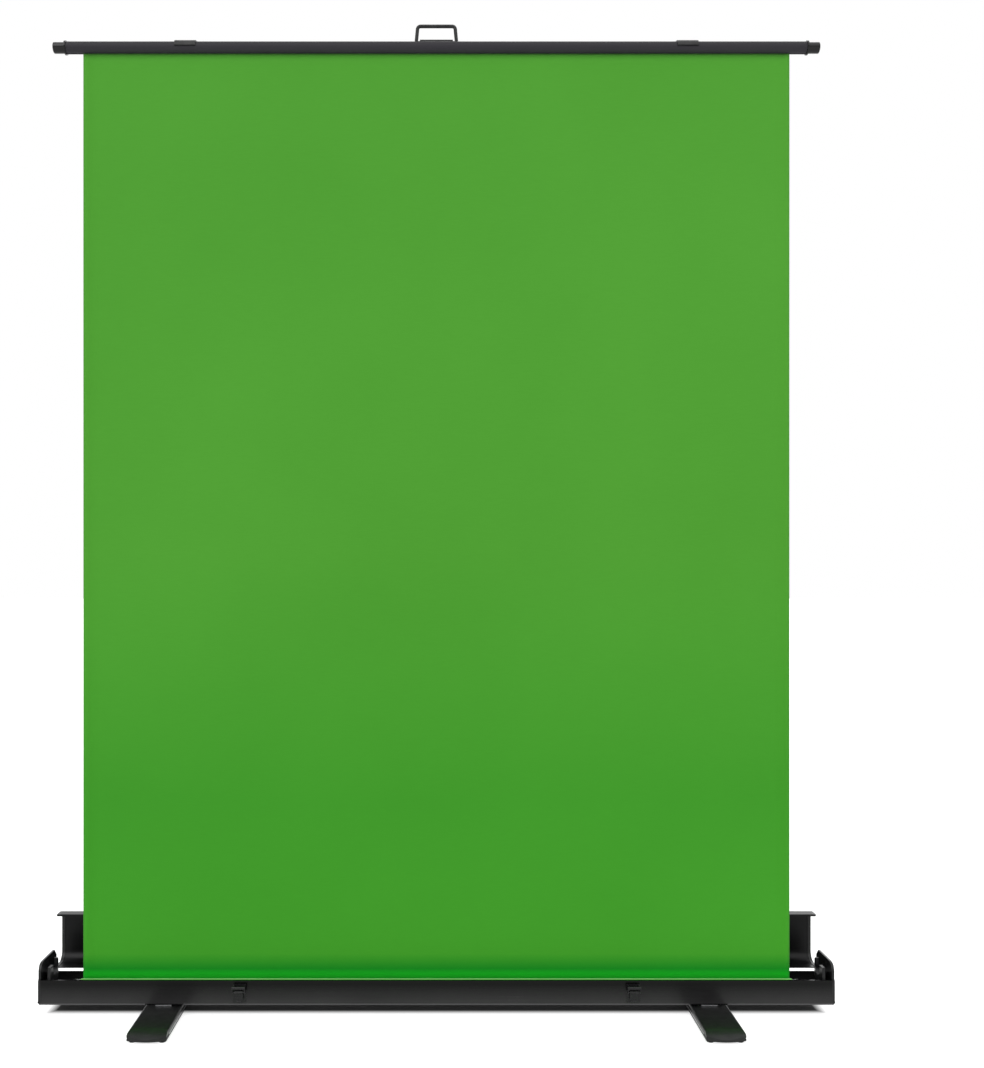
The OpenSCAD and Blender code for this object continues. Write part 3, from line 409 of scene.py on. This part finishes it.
def gather(parts):
    verts, faces = [], []
    for v, f in parts:
        base = len(verts)
        verts += list(v)
        faces += [tuple(i + base for i in face) for face in f]
    return verts, faces

# cloth stretched flat between roller and bar, with folded side hems; travel is how far the bar comes down
# fineWave is (rate across, sway, rate of the sway up), broadWave is (rate across, lean, start)
clothPlan = {"travel": 1.930, "hem": 0.011, "hemEdge": 0.0006, "hemStep": 0.0003, "columns": 64, "rows": 84,
    "ripple": 0.0009, "settle": 0.7, "fineWave": (9.0, 1.3, 2.1), "broadWave": (4.1, 1.2, 0.7), "thick": 0.00035}

def clothColumns(half):
    hem, edge, inner = clothPlan["hem"], clothPlan["hemEdge"], clothPlan["columns"]
    side = [half, half - hem * 0.5, half - hem + edge, half - hem]
    flat = 2 * (half - hem)
    return [-x for x in side] + [hem - half + flat * i / inner for i in range(1, inner)] + side[::-1]

def makeCloth():
    low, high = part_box("screen_fabric")
    y0 = (low.y + high.y) / 2
    half, tall, rows = high.x, high.z - low.z, clothPlan["rows"]
    xs = clothColumns(half)
    fine, sway, swayRate = clothPlan["fineWave"]
    broad, lean, start = clothPlan["broadWave"]
    verts, faces = [], []
    for r in range(rows + 1):
        z = low.z + tall * r / rows
        hold = math.sin(math.pi * r / rows) ** clothPlan["settle"] if 0 < r < rows else 0.0  # held flat at both ends
        for x in xs:
            wave = math.sin(x * fine + sway * math.sin(swayRate * z)) + math.sin(x * broad - z * lean + start)
            step = clothPlan["hemStep"] if abs(x) > half - clothPlan["hem"] + clothPlan["hemEdge"] / 2 else 0.0
            verts.append((x, y0 + clothPlan["ripple"] * hold * wave / 2 - step, z))
    wide = len(xs)
    for r in range(rows):
        for c in range(wide - 1):
            a = r * wide + c
            faces.append((a, a + 1, a + wide + 1, a + wide))
    cloth = newPiece("greenCloth", verts, faces, "cloth", "case_base", "green_cloth", sharpFrom=60)
    level = cloth.data.attributes.new("restHeight", "FLOAT", "POINT")
    level.data.foreach_set("value", [v[2] for v in verts])
    thick = cloth.modifiers.new("clothThickness", "SOLIDIFY")
    thick.thickness = clothPlan["thick"]
    thick.offset = 0
    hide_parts("screen_fabric")
    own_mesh(cloth)

makeCloth()
print("cloth made")

# screws: (radius, height) of a head; the case ones sit on the screw channels at the tray's lower corners
screwPlan = {"caseHead": (0.0025, 0.0012), "frontY": -0.0548, "rearY": 0.0508, "caseZ": 0.0305,
    "armHead": (0.0032, 0.0013)}

def capScrews():
    parts = []
    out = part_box("right_end_cap")[1].x
    for side in (-1, 1):
        for y in (screwPlan["frontY"], screwPlan["rearY"]):
            parts.append(crossScrew((side * out, y, screwPlan["caseZ"]), (side, 0, 0), *screwPlan["caseHead"]))
    newPiece("endCapScrews", *gather(parts), "coated", "case_base", "black_steel", sharpFrom=40)

# each arm runs from its outer pivot to the elbow; rear is how far back the face of its fittings lies
armPlan = {"pivotX": 0.525, "pivotZ": 0.040, "elbowZ": 1.03265, "tubeStart": 0.044, "tubeWidth": 0.022,
    "rear": {"left": 0.0155, "right": 0.031}, "baseScrew": 0.030, "elbowScrews": (0.010, 0.026), "fitSteps": 6}

def armRun(tube):
    # lift and length of a slanted tube, found from its box by a few steps
    low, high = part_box(tube)
    run, rise, width = high.x - low.x, high.z - low.z, armPlan["tubeWidth"]
    lift = math.atan2(rise, run)
    for step in range(armPlan["fitSteps"]):
        length = (run - width * math.sin(lift)) / math.cos(lift)
        lift = math.atan2(rise - width * math.cos(lift), run - width * math.sin(lift))
    return lift, length

def armScrews():
    for side, chain in ((1, "left"), (-1, "right")):
        for level in ("lower", "upper"):
            lift, length = armRun(level + "_" + chain + "_tube")
            end = armPlan["tubeStart"] + length
            parts = []
            for s in (armPlan["baseScrew"], *[end + past for past in armPlan["elbowScrews"]]):
                x, z = s * math.cos(lift) - armPlan["pivotX"], armPlan["pivotZ"] + s * math.sin(lift)
                if level == "upper":
                    z = 2 * armPlan["elbowZ"] - z
                place = (side * x, armPlan["rear"][chain], z)
                parts.append(crossScrew(place, (0, 1, 0), *screwPlan["armHead"]))
            body = level + "_" + chain + "_arm"
            newPiece(level + chain.title() + "Screws", *gather(parts), "zinc", body, "bright_steel", sharpFrom=40)

# pale slide strips let into the grooves along both sides of each foot
stripPlan = {"sink": 0.00095, "under": 0.0001, "short": 0.001, "low": 0.0082, "high": 0.0102}

def boxFaces(x0, x1, y0, y1, z0, z1):
    verts = [(x, y, z) for x in (x0, x1) for y in (y0, y1) for z in (z0, z1)]
    faces = [(0, 1, 3, 2), (4, 6, 7, 5), (0, 4, 5, 1), (2, 3, 7, 6), (0, 2, 6, 4), (1, 5, 7, 3)]
    return verts, faces

def footStrips():
    for side in ("left", "right"):
        body = side + "_foot"
        low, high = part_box(body + "_bar")
        parts = []
        for edge, out in ((low.x, -1), (high.x, 1)):
            x0, x1 = edge - out * stripPlan["sink"], edge - out * stripPlan["under"]
            y0, y1 = low.y + stripPlan["short"], high.y - stripPlan["short"]
            parts.append(boxFaces(x0, x1, y0, y1, stripPlan["low"], stripPlan["high"]))
        newPiece(side + "FootStrips", *gather(parts), "trim", body, "bright_steel", sharpFrom=30)

# ribbed sleeve on the carrying grip; grooveFloor and grooveEnd are shares of the step from rib to rib
gripPlan = {"half": 0.086, "radius": 0.0081, "bore": 0.00755, "edge": 0.0003, "groove": 0.0004, "ribs": 22,
    "grooveFloor": (0.15, 0.35), "grooveEnd": 0.5, "plain": 0.004, "barHalf": 0.0075, "sides": 28}

def gripSleeve():
    low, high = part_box("carry_grip")
    place = (0, (low.y + high.y) / 2, low.z + gripPlan["barHalf"])
    half, radius, bore, edge = gripPlan["half"], gripPlan["radius"], gripPlan["bore"], gripPlan["edge"]
    deep = radius - gripPlan["groove"]
    first = half - gripPlan["plain"]
    step = 2 * first / gripPlan["ribs"]
    profile = [(bore, -half), (radius - edge, -half), (radius, 2 * edge - half)]
    for i in range(gripPlan["ribs"]):
        x = i * step - first
        profile.append((radius, x))
        profile += [(deep, x + share * step) for share in gripPlan["grooveFloor"]]
        profile.append((radius, x + gripPlan["grooveEnd"] * step))
    profile += [(radius, half - 2 * edge), (radius - edge, half), (bore, half)]
    verts, faces, rings, turn = turnedRings(profile, gripPlan["sides"], place, (1, 0, 0))
    faces.append(tuple(rings[-1]))
    newPiece("gripSleeve", verts, faces, "grip", "carry_handle", "gloss_plastic", sharpFrom=35)

# wire handle on the top bar: legs lean in a little towards the top, and the wire is stouter above its pivot stubs
bailPlan = {"footHalf": 0.0424, "topHalf": 0.0392, "rise": 0.034, "wire": 0.003, "stout": 0.0037, "stub": 0.026,
    "bend": 0.0065, "footBend": 0.0042, "bendSteps": 7, "sides": 16}

def roundedPath(corners, radii, steps):
    # each inner corner becomes an arc of its own radius
    points = [Vector(corner) for corner in corners]
    path = [points[0]]
    for before, here, after, radius in zip(points, points[1:], points[2:], radii):
        a = (before - here).normalized()
        b = (after - here).normalized()
        half = a.angle(b) / 2
        centre = here + (a + b).normalized() * radius / math.sin(half)
        start = (here + a * radius / math.tan(half) - centre).normalized()
        end = (here + b * radius / math.tan(half) - centre).normalized()
        path += [centre + start.slerp(end, i / steps) * radius for i in range(steps + 1)]
    return path + [points[-1]]

def sweptWire(path, radii, count, flat):
    # round section carried along a path that lies in a plane with the normal flat
    verts, faces = [], []
    for i, (point, radius) in enumerate(zip(path, radii)):
        ahead = (path[min(i + 1, len(path) - 1)] - path[max(i - 1, 0)]).normalized()
        across = Vector(flat).cross(ahead).normalized()
        for k in range(count):
            turn = 2 * math.pi * k / count
            verts.append(point + across * radius * math.cos(turn) + Vector(flat) * radius * math.sin(turn))
    for i in range(len(path) - 1):
        for k in range(count):
            n = (k + 1) % count
            faces.append((i * count + k, i * count + n, (i + 1) * count + n, (i + 1) * count + k))
    faces.append(tuple(range(count)))
    faces.append(tuple(range((len(path) - 1) * count, len(path) * count)))
    return verts, faces

def bailWire():
    low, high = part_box("bail_handle")
    y, z0 = (low.y + high.y) / 2, high.z - bailPlan["wire"] - bailPlan["rise"]
    z1 = z0 + bailPlan["rise"]
    foot, top = bailPlan["footHalf"], bailPlan["topHalf"]
    left = [(-bailPlan["stub"], y, z0), (-foot, y, z0), (-top, y, z1)]
    corners = left + [(-px, py, pz) for px, py, pz in reversed(left)]
    radii = [bailPlan["footBend"], bailPlan["bend"], bailPlan["bend"], bailPlan["footBend"]]
    path = roundedPath(corners, radii, bailPlan["bendSteps"])
    grow = [min(max((point.z - z0) / bailPlan["footBend"], 0.0), 1.0) for point in path]
    thick = [bailPlan["wire"] + (bailPlan["stout"] - bailPlan["wire"]) * share for share in grow]
    verts, faces = sweptWire(path, thick, bailPlan["sides"], (0, 1, 0))
    handle = newPiece("bailWire", verts, faces, "coated", "bail", "black_steel", sharpFrom=40)
    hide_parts("bail_handle")

capScrews()
bailWire()
armScrews()
footStrips()
gripSleeve()
print("fasteners and trim made")

# white floor that keeps the shadow: part paint, part glow that the camera sees in full and reflections in part
# both die away under the case, which never moves, as a painted shadow: fall is how far in from its long sides that
# starts and ends, and ends is how much sooner it comes at the two ends
floorPlan = {"half": 60.0, "paint": 0.68, "shadowPaint": 0.12, "glow": 0.72, "mirrored": 0.49, "rough": 0.8,
    "gloss": 0.1, "fall": (0.0235, 0.0425), "ends": 0.022}

def depthUnderCase(tree, where):
    axes = splitAxes(tree, where)
    x, y, ends = axes["X"], axes["Y"], floorPlan["ends"]
    depth = floorPlan["half"]
    for more, less in ((x, trayLow.x - ends), (trayHigh.x + ends, x), (y, trayLow.y), (trayHigh.y, y)):
        depth = joinValues(tree, "MINIMUM", depth, joinValues(tree, "SUBTRACT", more, less))
    return depth

def setStage():
    mesh = bpy.data.meshes.new("studioFloor")
    s = floorPlan["half"]
    mesh.from_pydata([(-s, -s, 0), (s, -s, 0), (s, s, 0), (-s, s, 0)], [], [(0, 1, 2, 3)])
    floor = bpy.data.objects.new("studioFloor", mesh)
    bpy.context.scene.collection.objects.link(floor)
    mat, tree, shader, where = startFinish("studioFloor", Roughness=floorPlan["rough"],
        Specular_IOR_Level=floorPlan["gloss"])
    # painted shadow: the floor's paint and glow are darkened by depth under the case
    free = spread(tree, depthUnderCase(tree, where), 1.0, 0.0, *floorPlan["fall"])
    under, paint = [(floorPlan[key],) * 3 for key in ("shadowPaint", "paint")]
    tree.links.new(blendColour(tree, free, under, paint), shader.inputs["Base Color"])
    glow = tree.nodes.new("ShaderNodeEmission")
    rays = tree.nodes.new("ShaderNodeLightPath")
    seen = weightedSum(tree, rays.outputs["Is Camera Ray"], floorPlan["glow"],
        rays.outputs["Is Glossy Ray"], floorPlan["mirrored"])
    tree.links.new(joinValues(tree, "MULTIPLY", seen, free), glow.inputs["Strength"])
    both = tree.nodes.new("ShaderNodeAddShader")
    tree.links.new(shader.outputs["BSDF"], both.inputs[0])
    tree.links.new(glow.outputs["Emission"], both.inputs[1])
    tree.links.new(both.outputs["Shader"], tree.nodes["Material Output"].inputs["Surface"])
    mesh.materials.append(mat)

# each sun: where it stands, its strength and how wide it is in degrees
lightPlan = {"sky": 0.35, "backdrop": 1.0, "suns": {
    "keySun": ((-0.5, -1.0, 1.0), 1.5, 50),
    "fillSun": ((0.7, -0.8, 1.1), 0.8, 60),
    "rearSun": ((0.2, 0.8, 1.0), 1.2, 70)}}

def setLight():
    world = bpy.data.worlds.new("studioWorld")
    bpy.context.scene.world = world
    world.use_nodes = True
    tree = world.node_tree
    rays = tree.nodes.new("ShaderNodeLightPath")
    seen = joinValues(tree, "MAXIMUM", rays.outputs["Is Camera Ray"], rays.outputs["Is Glossy Ray"])
    seen = joinValues(tree, "MAXIMUM", seen, rays.outputs["Is Transmission Ray"])
    back = tree.nodes["Background"]
    back.inputs["Color"].default_value = (1, 1, 1, 1)
    tree.links.new(spread(tree, seen, lightPlan["sky"], lightPlan["backdrop"], 0, 1), back.inputs["Strength"])
    for name, (stand, power, width) in lightPlan["suns"].items():
        data = bpy.data.lights.new(name, "SUN")
        data.energy = power
        data.angle = math.radians(width)
        lamp = bpy.data.objects.new(name, data)
        lamp.rotation_euler = Vector(stand).to_track_quat("Z", "Y").to_euler()
        bpy.context.scene.collection.objects.link(lamp)

setStage()
setLight()
print("stage and light set")
